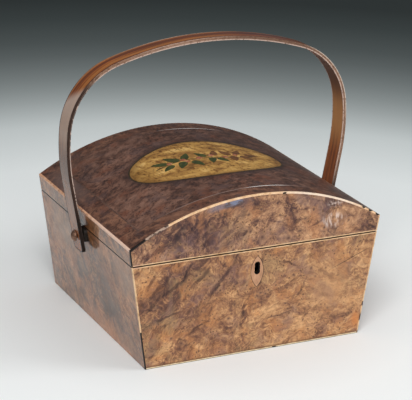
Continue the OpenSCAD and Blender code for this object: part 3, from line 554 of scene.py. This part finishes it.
ovalLineLook = {
    **stringLook, "dirtFrom": 0.5, "dirtColour": (0.02, 0.014, 0.01),
    "colours": [(0.022, 0.018, 0.012), (0.04, 0.03, 0.017), (0.075, 0.05, 0.024)],
}
dress(slipWood("oval_dark_line", ovalLineLook), "oval_line")
keyLook = {
    **stringLook, "grainReach": (1, 1, 5), "grainScale": 600, "dirtFrom": 0.58, "dirt": 0.4,
    "arcs": [(0.01428, 0, 0.0748), (-0.01428, 0, 0.0748)], "arcEdge": (0.0199, 0.0203),
    "colours": [(0.36, 0.18, 0.10), (0.5, 0.265, 0.15), (0.6, 0.34, 0.2)],
    "marks": [  # the keyhole, painted dark as shade in and round the hole
        spot((0, 0, keyholeZ + up), (0.0028, 9, tall), soft=0.05)
        for up, tall in ((-0.0032, 0.0028), (0, 0.0052), (0.0032, 0.0028))
    ],
}
dress(slipWood("escutcheon_light_wood", keyLook), "keyhole_escutcheon")
print("stringing let in")


# bent handle: grain that runs along the bow, and a depth through the strip from its arcs
bowShape = {
    "pivot": (0, 0, 0.088), "lean": (-1.2, 0, 0), "foot": 0.12396, "slope": 10.3, "half": 0.0016,
    "arcs": [((-0.04519, 0, 0.08151), 0.181), ((0.06989, 0, 0.09138), 0.0655), ((0, 0, -0.12501), 0.29289)],
    "curveFrom": 0.04915, "shoulderFrom": 0.09697, "crownWithin": 0.09002,
    "hub": 0.012, "crownAt": (0.105, 0.15), "middle": (-0.3, 0.3), "cloudAt": (0.5, 0.72), "stripeCore": 0.3,
}


def bowDepth(tree, place, across, up, shape):  # -1 at the inner face, 1 at the outer one
    local = vectors(tree, "ABSOLUTE", laidOut(tree, place, shape["pivot"], shape["lean"], noDepth))
    slope = math.radians(shape["slope"])
    depth = minus(tree, times(tree, minus(tree, across, shape["foot"]), math.cos(slope)),
                  times(tree, up, math.sin(slope)))
    reached = [sums(tree, "GREATER_THAN", up, shape["curveFrom"]),
               sums(tree, "GREATER_THAN", up, shape["shoulderFrom"]),
               sums(tree, "LESS_THAN", across, shape["crownWithin"])]
    for share, (centre, radius) in zip(reached, shape["arcs"]):
        off = minus(tree, far(tree, vectors(tree, "SUBTRACT", local, centre)), radius)
        depth = chosen(tree, share, depth, off)
    return sums(tree, "DIVIDE", depth, shape["half"])


def bowWood(name, look):
    finish, tree, skin, place = startFinish(name, specular=look["shine"])
    x, y, z = apart(tree, laidOut(tree, place, bowShape["pivot"], bowShape["lean"]))
    depth = bowDepth(tree, place, sums(tree, "ABSOLUTE", x), z, bowShape)
    turn = sums(tree, "ARCTAN2", minus(tree, z, bowShape["hub"]), x)
    run = addNode(tree, "CombineXYZ", {"X": times(tree, turn, look["along"]), "Y": times(tree, y, look["across"]),
                                       "Z": times(tree, depth, look["through"])})
    grain = noise(tree, run.outputs[0], 1.0, detail=4, roughness=0.6, distortion=0.3)
    cloud = noise(tree, place, look["cloudScale"], roughness=0.6)
    clouded = step(tree, cloud, *bowShape["cloudAt"], 0, look["cloud"])
    colour = mixed(tree, clouded, tones(tree, grain, look["tones"]), look["cloudColour"])
    crown = step(tree, z, *bowShape["crownAt"])
    for at, wide, share, tone in look["stripes"]:
        off = sums(tree, "ABSOLUTE", minus(tree, y, at))
        stripe = step(tree, off, bowShape["stripeCore"] * wide, wide, share, 0)
        colour = mixed(tree, times(tree, stripe, crown), colour, tone)
    colour = withMarks(tree, place, colour, look["under"])
    for part in look["layers"]:
        start, full, last, end = part["depth"]
        share = times(tree, step(tree, depth, start, full), step(tree, depth, last, end, 1, 0))
        if part["torn"]:  # noise scale, limits
            scale, low, high = part["torn"]
            share = times(tree, share, step(tree, noise(tree, place, scale, roughness=0.65), low, high))
        for limit in part["within"]:
            share = times(tree, share, markMask(tree, place, limit))
        colour = mixed(tree, times(tree, share, part["strength"]), colour, part["colour"])
    colour = withMarks(tree, place, colour, look["marks"])
    rough = chosen(tree, step(tree, depth, *bowShape["middle"]), look["innerRough"], worn(tree, cloud, look["rough"]))
    cover(tree, skin, colour, grain, look["bump"], depth=0.0003, rough=rough)
    return finish


# a layer on the strip; depth: where it starts, is full, fades and ends
def layer(depth, strength, colour, *within, torn=None):
    return {"depth": depth, "strength": strength, "colour": colour, "within": within, "torn": torn}


outerFace, innerFace, innerEdge = (0.0, 0.5, 1.6, 1.7), (-1.6, -1.5, -0.5, 0.0), (-1.6, -1.5, -0.8, -0.35)
bowLook = {
    "along": 4.0, "across": 420.0, "through": 0.4, "cloudScale": 26, "cloud": 0.5, "cloudColour": (0.11, 0.04, 0.02),
    "shine": 0.7, "rough": (0.14, 0.22), "innerRough": 0.75, "bump": 0.12, "under": [],
    "tones": [(0.28, (0.085, 0.02, 0.005)), (0.45, (0.2, 0.052, 0.011)), (0.6, (0.33, 0.098, 0.02)),
              (0.78, (0.44, 0.16, 0.038))],
    "stripes": [  # place across the strip, half width, share, tone
        (0.0036, 0.0034, 0.8, (0.115, 0.026, 0.010)), (-0.0045, 0.003, 0.5, (0.46, 0.185, 0.045)),
        (-0.0085, 0.0009, 0.85, (0.05, 0.018, 0.01)), (0.0082, 0.001, 0.6, (0.42, 0.2, 0.09)),
    ],
    "layers": [  # painted sheen and shade on the left leg's outside from the shoulder down, then painted light and shade on the right one's inside
        layer(outerFace, 0.8, (0.52, 0.4, 0.33), spot((-0.134, 0, 0.203), (0.06, 0.06, 0.05), soft=0.7),
              spot((-0.121, -0.051, 0.137), (0.2, 0.2, 0.1), turn=(-31, 0, 0), soft=0.09)),
        layer(outerFace, 0.6, (0.065, 0.04, 0.025), spot((-0.134, 0, 0.152), (0.06, 0.06, 0.032), soft=0.9)),
        layer(outerFace, 0.3, (0.4, 0.28, 0.21), spot((-0.128, 0, 0.114), (0.06, 0.06, 0.032), soft=0.9)),
        layer(innerFace, 0.65, (0.55, 0.27, 0.09), spot((0.134, 0, 0.173), (0.03, 0.05, 0.04), soft=0.8)),
        layer(innerFace, 0.85, (0.11, 0.034, 0.008), spot((0.134, 0, 0.215), (0.05, 0.05, 0.044), soft=0.8)),
    ],
    # painted shade: the right of the crown darker and redder
    "marks": [spot((0.055, 0, 0.252), (0.065, 0.05, 0.045), soft=0.8, how="MULTIPLY", colour=(0.72, 0.5, 0.44))],
}
dress(bowWood("handle_bent_wood", bowLook), "handle_bow")
bowEdgeLook = {
    "along": 60.0, "across": 500.0, "through": 1.6, "cloudScale": 150, "cloud": 0.6,
    "cloudColour": (0.06, 0.026, 0.014), "shine": 0.25, "rough": (0.4, 0.6), "innerRough": 0.5, "bump": 0.25,
    "tones": [(0.3, (0.13, 0.06, 0.036)), (0.5, (0.25, 0.135, 0.085)), (0.75, (0.42, 0.26, 0.18))], "stripes": [],
    "under": [
        spot((-0.134, 0, 0.145), (0.05, 0.05, 0.105), soft=0.25, strength=0.92, colour=(0.025, 0.012, 0.009)),
        spot((-0.04, 0, 0.245), (0.06, 0.05, 0.05), soft=0.8, strength=0.2, colour=(0.5, 0.335, 0.26)),
        spot((0.06, 0, 0.25), (0.075, 0.05, 0.05), soft=0.6, strength=0.6, colour=(0.13, 0.066, 0.043)),
    ],
    "layers": [
        layer(innerEdge, 0.85, (0.64, 0.47, 0.39), torn=(480, 0.36, 0.46)),
        layer(innerEdge, 0.9, (0.025, 0.012, 0.009), spot((-0.13, 0, 0.197), (0.05, 0.05, 0.042), soft=0.3),
              torn=(240, 0.42, 0.52)),
        layer((0.6, 0.9, 1.6, 1.7), 0.5, (0.74, 0.52, 0.42), spot((-0.03, 0, 0.25), (0.07, 0.05, 0.06), soft=0.8),
              torn=(260, 0.36, 0.46)),
        layer((0.3, 0.7, 1.6, 1.7), 0.8, (0.74, 0.62, 0.52), spot((0.13, 0, 0.215), (0.05, 0.05, 0.06), soft=0.5),
              torn=(620, 0.36, 0.46)),
    ],
    "marks": [  # black at both feet
        spot((side * 0.118, 0, 0.085), (0.04, 0.05, 0.05), soft=0.6, strength=0.95, colour=(0.014, 0.008, 0.006))
        for side in (-1, 1)
    ],
}
dress(bowWood("handle_worn_edge", bowEdgeLook), "handle_edging")
print("handle finished")


# metals
def oldMetal(name, look):
    finish, tree, skin, place = startFinish(name, metallic=look["metal"])
    cloud = noise(tree, place, look["cloudScale"], detail=5, roughness=0.65)
    pits = cells(tree, place, look["pitScale"])
    pitted = step(tree, pits, *look["pitAt"], look["pit"], 0)
    colour = mixed(tree, pitted, tones(tree, cloud, look["tones"]), look["pitColour"])
    colour = withMarks(tree, place, colour, look["marks"])
    height = plus(tree, cloud, step(tree, pits, 0.0, look["pitAt"][1]))
    cover(tree, skin, colour, height, look["bump"], depth=0.0002, rough=worn(tree, cloud, look["rough"]))
    return finish


ironLook = {
    "pitAt": (0.1, 0.3), "marks": [], "metal": 0.7, "cloudScale": 160, "pitScale": 600, "pit": 0.6,
    "pitColour": (0.02, 0.012, 0.01), "rough": (0.38, 0.65), "bump": 0.35,
    "tones": [(0.3, (0.02, 0.016, 0.014)), (0.6, (0.045, 0.036, 0.03)), (0.8, (0.09, 0.06, 0.045))],
}
dress(oldMetal("blackened_iron", ironLook), "handle_blocks")
rivetLook = {
    **ironLook, "metal": 0.8, "pitColour": (0.06, 0.03, 0.02), "rough": (0.3, 0.5), "bump": 0.2,
    "tones": [(0.3, (0.13, 0.07, 0.045)), (0.55, (0.24, 0.13, 0.085)), (0.8, (0.36, 0.22, 0.15))],
}
dress(oldMetal("tarnished_pivot_brass", rivetLook), "handle_pivots", "pivot_washers")
brassLook = {
    **ironLook, "metal": 1.0, "pitColour": (0.2, 0.12, 0.05), "pit": 0.3, "rough": (0.28, 0.5), "bump": 0.12,
    "tones": [(0.3, (0.42, 0.27, 0.09)), (0.55, (0.6, 0.42, 0.16)), (0.8, (0.7, 0.52, 0.24))],
}
# painted shade inside the keyhole, on the lock and on the board behind it
keyholeShade = spot((0, -0.098, keyholeZ), (0.006, 0.02, 0.0085), soft=0.1, colour=(0.003, 0.002, 0.002))
lockLook = {**brassLook, "marks": [keyholeShade]}
dress(oldMetal("lock_brass", lockLook), "lock_case")
dress(oldMetal("dull_brass", brassLook), "lock_selvedge", "lock_screws", "lock_bolt", "hinge_leaves_case", "hinge_pins",
      "hinge_screws_case", "link_plate", "link_plate_screws", "hinge_leaves_lid", "hinge_screws_lid")
print("metals done")


# plain woods inside, and the paper linings
def plainWood(name, look):
    finish, tree, skin, place = startFinish(name, look["rough"], look["polish"], coatRoughness=0.3)
    lay = shaken(tree, laidOut(tree, place, reach=look["grainReach"]), place, *look["wander"])
    grain = noise(tree, lay, look["grainScale"], detail=5, roughness=0.62)
    pores = noise(tree, lay, look["poreScale"], detail=2)
    colour = mixed(tree, step(tree, pores, *look["poreAt"], 0, look["pore"]), tones(tree, grain, look["tones"]),
                   look["poreColour"])
    colour = withMarks(tree, place, colour, look["marks"])
    cover(tree, skin, colour, minus(tree, grain, pores), bump=0.2, depth=0.0002)
    return finish


boardLook = {
    "polish": 0.0, "poreScale": 1040, "poreAt": (0.6, 0.72), "pore": 0.5, "wander": (12, 0.006), "marks": [],
    "grainReach": (8, 8, 1), "grainScale": 260, "rough": 0.6, "poreColour": (0.14, 0.06, 0.03),
    "tones": [(0.3, (0.20, 0.095, 0.045)), (0.5, (0.30, 0.15, 0.07)), (0.72, (0.38, 0.2, 0.1))],
}
frontBoardLook = {**boardLook, "marks": [keyholeShade]}
dress(plainWood("front_board_wood", frontBoardLook), "front_board")
dress(plainWood("carcase_wood", boardLook), "bottom_board", "back_board", "left_end_board", "right_end_board",
      "lid_front_board", "lid_back_board", "lid_left_end_board", "lid_right_end_board", "lid_top_board")
trayLook = {
    **boardLook, "grainReach": (10, 10, 1.2), "rough": 0.5, "polish": 0.1, "poreColour": (0.24, 0.12, 0.05),
    "tones": [(0.3, (0.34, 0.18, 0.08)), (0.5, (0.46, 0.27, 0.125)), (0.72, (0.55, 0.34, 0.17))],
}
dress(plainWood("tray_wood", trayLook), "tray_bottom", "tray_long_walls", "tray_end_walls", "tray_long_dividers",
      "tray_cross_dividers", "tray_bearers")


def agedPaper(name, look):
    finish, tree, skin, place = startFinish(name, look["rough"], specular=0.25)
    pulp = noise(tree, place, look["pulpScale"], detail=5, roughness=0.7)
    stain = noise(tree, place, look["stainScale"], detail=4, roughness=0.6)
    colour = mixed(tree, look["pulp"], tones(tree, stain, look["tones"]), tones(tree, pulp, look["pulpTones"]),
                   "MULTIPLY")
    fox = step(tree, cells(tree, place, look["foxScale"]), *look["foxSize"], 1, 0)
    fox = times(tree, fox, step(tree, stain, *look["foxAt"]))
    colour = mixed(tree, times(tree, fox, look["fox"]), colour, look["foxColour"])
    cover(tree, skin, colour, pulp, bump=0.2, depth=0.0002)
    return finish


paperLook = {
    "rough": 0.85, "pulpScale": 420, "pulp": 0.25, "stainScale": 16, "foxScale": 70, "foxSize": (0.05, 0.2),
    "foxAt": (0.5, 0.62), "fox": 0.6, "foxColour": (0.3, 0.16, 0.08),
    "tones": [(0.3, (0.44, 0.29, 0.22)), (0.5, (0.58, 0.43, 0.34)), (0.75, (0.66, 0.52, 0.42))],
    "pulpTones": [(0.3, (0.5, 0.42, 0.36)), (0.7, (1, 1, 1))],
}
dress(agedPaper("aged_lining_paper", paperLook), "case_lining", "lid_lining")
print("inside finished")


# oval panel: an amber painted ground under cracked, dirty varnish
def paintedGround(name, look):
    finish, tree, skin, place = startFinish(name, coat=0.15, coatRoughness=0.18, specular=0.2)
    wash = noise(tree, laidOut(tree, place, reach=look["washReach"]), look["washScale"], detail=6,
                 roughness=0.68, distortion=0.6)
    lay = laidOut(tree, place, turn=look["strokeTurn"], reach=look["strokeReach"])
    strokes = noise(tree, lay, look["strokeScale"], detail=4, roughness=0.68)
    colour = mixed(tree, look["stroke"], tones(tree, wash, look["tones"]), tones(tree, strokes, look["strokeTones"]),
                   "MULTIPLY")
    colour = withMarks(tree, place, colour, look["marks"])
    speck = burrEyes(tree, laidOut(tree, place, reach=look["speckReach"]), *look["speckEyes"])
    dirty = step(tree, noise(tree, place, look["dirtScale"]), *look["dirtAt"], 0, look["speck"])
    colour = mixed(tree, times(tree, speck, dirty), colour, look["speckColour"])
    rim = far(tree, laidOut(tree, place, look["at"], reach=look["reach"]))
    rim = swayed(tree, rim, wash, look["rimWander"])
    colour = mixed(tree, step(tree, rim, *look["rimAt"], 0, look["rim"]), colour, look["rimColour"])
    cover(tree, skin, colour, strokes, bump=0.12, depth=0.0002, rough=worn(tree, wash, look["rough"]))
    return finish


groundLook = {
    "washReach": (1.8, 1, 1), "strokeTurn": (0, 0, 8), "strokeReach": (1, 2.2, 1), "strokeScale": 300, "stroke": 0.9,
    "speckReach": (1, 1.8, 1), "speckEyes": (330, 0.42, 0.6), "speck": 0.75, "dirtScale": 60, "dirtAt": (0.42, 0.58),
    "rimWander": 0.3, "rimAt": (0.86, 1.04), "rim": 0.75, "rough": (0.32, 0.5), "washScale": 85,
    "speckColour": (0.11, 0.052, 0.013), "at": (0, 0, 0.14), "reach": (0.073, 0.0465, 9),
    "rimColour": (0.16, 0.075, 0.018),
    "tones": [(0.34, (0.16, 0.07, 0.018)), (0.44, (0.35, 0.175, 0.046)), (0.54, (0.53, 0.295, 0.08)),
              (0.66, (0.72, 0.45, 0.155))],
    "marks": [
        spot((0, -0.052, 0.142), (0.08, 0.016, 0.05), soft=0.9, strength=0.35, colour=(0.2, 0.10, 0.02)),
        spot((-0.064, 0, 0.142), (0.016, 0.04, 0.05), soft=0.9, strength=0.35, colour=(0.24, 0.12, 0.022)),
    ],
    "strokeTones": [(0.34, (0.3, 0.2, 0.11)), (0.48, (1, 1, 1)), (0.7, (1, 0.98, 0.85))],
}
dress(paintedGround("painted_amber_ground", groundLook), "oval_panel")
print("oval ground painted")


# a plain spray of leaves and berries, flat paint laid on the oval
brushLook = {
    "reach": (3, 1, 1), "scale": 420, "rough": (0.35, 0.55), "bump": 0.2, "bumpDepth": 0.0001,
    "corners": 20, "above": 0.16, "taper": -1.1, "thick": 0.00012,
}


def paintFinish(name, look):
    finish, tree, skin, place = startFinish(name, coat=0.3, coatRoughness=0.2, specular=0.3)
    lay = laidOut(tree, place, turn=(0, 0, look["turn"]), reach=brushLook["reach"])
    brush = noise(tree, lay, brushLook["scale"], detail=4, roughness=0.65)
    cover(tree, skin, tones(tree, brush, look["tones"]), brush, brushLook["bump"], brushLook["bumpDepth"],
          worn(tree, brush, brushLook["rough"]))
    return finish


def dab(kind, x, y, long, wide, turn):  # in mm
    bpy.ops.object.select_all(action="DESELECT")
    bpy.ops.mesh.primitive_circle_add(vertices=brushLook["corners"], radius=0.001, fill_type="TRIFAN",
                                      location=(x / 1000, y / 1000, brushLook["above"]),
                                      rotation=(0, 0, math.radians(turn)))
    piece = bpy.context.object
    piece.scale = (long / 2, wide / 2, 1)
    if kind == "leaf":
        bpy.ops.object.transform_apply(location=False, rotation=False, scale=True)
        taper = piece.modifiers.new("taper", "SIMPLE_DEFORM")
        taper.deform_method = "TAPER"
        taper.deform_axis = "X"
        taper.factor = brushLook["taper"]
        bpy.ops.object.modifier_apply(modifier=taper.name)
    bpy.ops.object.transform_apply(location=True, rotation=True, scale=True)
    return piece


def layPaint(name, kind, look):
    dabs = [dab(kind, *row) for row in look["dabs"]]
    bpy.ops.object.select_all(action="DESELECT")
    for piece in dabs:
        piece.select_set(True)
    bpy.context.view_layer.objects.active = dabs[0]
    bpy.ops.object.join()
    paint = bpy.context.object
    paint.name = name
    wrap = paint.modifiers.new("wrap", "SHRINKWRAP")
    wrap.wrap_method = "PROJECT"
    wrap.use_project_z, wrap.use_negative_direction, wrap.use_positive_direction = True, True, False
    wrap.target = nodes["oval_panel"]
    wrap.offset = look["lift"]
    bpy.ops.object.modifier_apply(modifier=wrap.name)
    skin = paint.modifiers.new("thickness", "SOLIDIFY")
    skin.thickness, skin.offset = brushLook["thick"], 0
    bpy.ops.object.modifier_apply(modifier=skin.name)
    bpy.ops.object.transform_apply(location=True, rotation=True, scale=True)
    paint.data.materials.clear()
    paint.data.materials.append(paintFinish(name + "_paint", look))
    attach(paint, "lid")


# dabs: x, y, length, width, turn
stemLook = {
    "turn": 6, "lift": 0.00004, "tones": [(0.3, (0.03, 0.025, 0.008)), (0.7, (0.085, 0.07, 0.02))],
    "dabs": [(-46 + 8 * i, 4 * math.sin(i * 0.55) - 2, 11, 1.3, 16 * math.cos(i * 0.55)) for i in range(12)],
}
layPaint("spray_stem", "stroke", stemLook)
greenLook = {
    "turn": 40, "lift": 0.00006,
    "tones": [(0.3, (0.018, 0.026, 0.008)), (0.5, (0.045, 0.058, 0.014)), (0.72, (0.1, 0.105, 0.026))],
    "dabs": [(-44, 6, 15, 7, 150), (-40, -7, 14, 6.5, 215), (-31, 9, 17, 8, 125), (-27, -8, 16, 7.5, 240),
             (-17, 10, 16, 7, 60), (-13, -11, 15, 7, 290), (-3, 8, 14, 6.5, 115), (2, -9, 14, 6.5, 250),
             (12, -11, 13, 6, 300)],
}
layPaint("spray_green_leaves", "leaf", greenLook)
ochreLook = {
    "turn": -30, "lift": 0.00006,
    "tones": [(0.3, (0.07, 0.026, 0.009)), (0.5, (0.15, 0.058, 0.017)), (0.72, (0.27, 0.12, 0.035))],
    "dabs": [(11, 9, 14, 6.5, 70), (21, 8, 15, 7, 110), (24, -9, 15, 7, 255), (34, 9, 14, 6.5, 55),
             (37, -7, 14, 6.5, 300), (46, 2, 15, 6.5, 5)],
}
layPaint("spray_ochre_leaves", "leaf", ochreLook)
berryLook = {
    "turn": 0, "lift": 0.00009,
    "tones": [(0.3, (0.2, 0.045, 0.02)), (0.55, (0.4, 0.13, 0.06)), (0.75, (0.66, 0.42, 0.27))],
    "dabs": [(-36, 1.5, 5, 4.6, 0), (-22, 3, 5.6, 5, 0), (-20, -2.5, 4.6, 4.6, 0), (-7, 1, 6, 5.6, 0),
             (6, 3.5, 5, 4.6, 0), (17, -3.5, 5.6, 5, 0), (29, 1.5, 5, 4.6, 0)],
}
layPaint("spray_berries", "berry", berryLook)
print("spray painted")


# stage: pale paper that darkens far behind the box, and soft lamps
stageLook = {
    "corners": 96, "low": -0.0002, "rough": 0.9, "coolAt": 1.1, "size": 4.0, "near": (0.985, 0.997, 0.99),
    "tint": (0.81, 1.0, 1.0), "end": 1.25,
    # the grey dips near the middle as a painted shadow round the box
    "greys": [(0.0, 0.84), (0.13, 0.85), (0.2, 0.92), (0.42, 0.91), (0.5, 0.82), (0.57, 0.74), (0.62, 0.60),
              (0.67, 0.47), (0.72, 0.365), (0.77, 0.285), (0.82, 0.225), (0.88, 0.165), (0.95, 0.12), (1.08, 0.075),
              (1.2, 0.05)],
}


def layFloor(look):
    bpy.ops.object.select_all(action="DESELECT")
    bpy.ops.mesh.primitive_circle_add(vertices=look["corners"], radius=look["size"], fill_type="NGON",
                                      location=(0, 0, look["low"]))
    floor = bpy.context.object
    floor.name = "pale_floor"
    finish, tree, skin, place = startFinish("graded_paper", look["rough"], specular=0.1)
    away = sums(tree, "DIVIDE", far(tree, place), look["end"], True)
    stops = []
    for at, grey in look["greys"]:
        cool = min(1, (at / look["coolAt"]) ** 2)
        shade = tuple(grey * n * (1 + (t - 1) * cool) for n, t in zip(look["near"], look["tint"]))
        stops.append((at / look["end"], shade))
    plug(skin.inputs["Base Color"], tones(tree, away, stops))
    floor.data.materials.append(finish)


def softLamp(name, look):
    bpy.ops.object.light_add(type="AREA", location=look["at"])
    lamp = bpy.context.object
    lamp.name = name
    lamp.data.shape = "RECTANGLE"
    lamp.data.size, lamp.data.size_y = look["size"]
    lamp.data.energy = look["power"]
    lamp.rotation_mode = "QUATERNION"
    lamp.rotation_quaternion = (Vector(look["aim"]) - Vector(look["at"])).to_track_quat("-Z", "Y")


def fillRoom(look):
    world = bpy.data.worlds.new("soft_room")
    scene.world = world
    world.use_nodes = True
    tree = world.node_tree
    air = tree.nodes["Background"]
    away = apart(tree, addNode(tree, "TexCoord", {}).outputs["Generated"])[1]
    mirrored = step(tree, away, *look["turn"], look["level"], look["behind"])
    glossy = addNode(tree, "LightPath", {}).outputs["Is Glossy Ray"]
    plug(air.inputs["Color"], look["tint"])
    plug(air.inputs["Strength"], chosen(tree, glossy, look["level"], mirrored))


# even light all round, with the dark paper behind the box in its reflections
roomLook = {"tint": (0.96, 0.98, 1.0), "level": 0.35, "behind": 0.1, "turn": (-0.1, 0.5)}
keyLamp = {"at": (-0.9, -1.5, 1.7), "aim": (0, 0, 0.08), "size": (1.2, 1.2), "power": 39}
fillLamp = {"at": (1.6, -1.0, 1.1), "aim": (0, 0, 0.08), "size": (1.0, 1.0), "power": 14}
layFloor(stageLook)
fillRoom(roomLook)
softLamp("key_lamp", keyLamp)
softLamp("fill_lamp", fillLamp)
print("stage set")
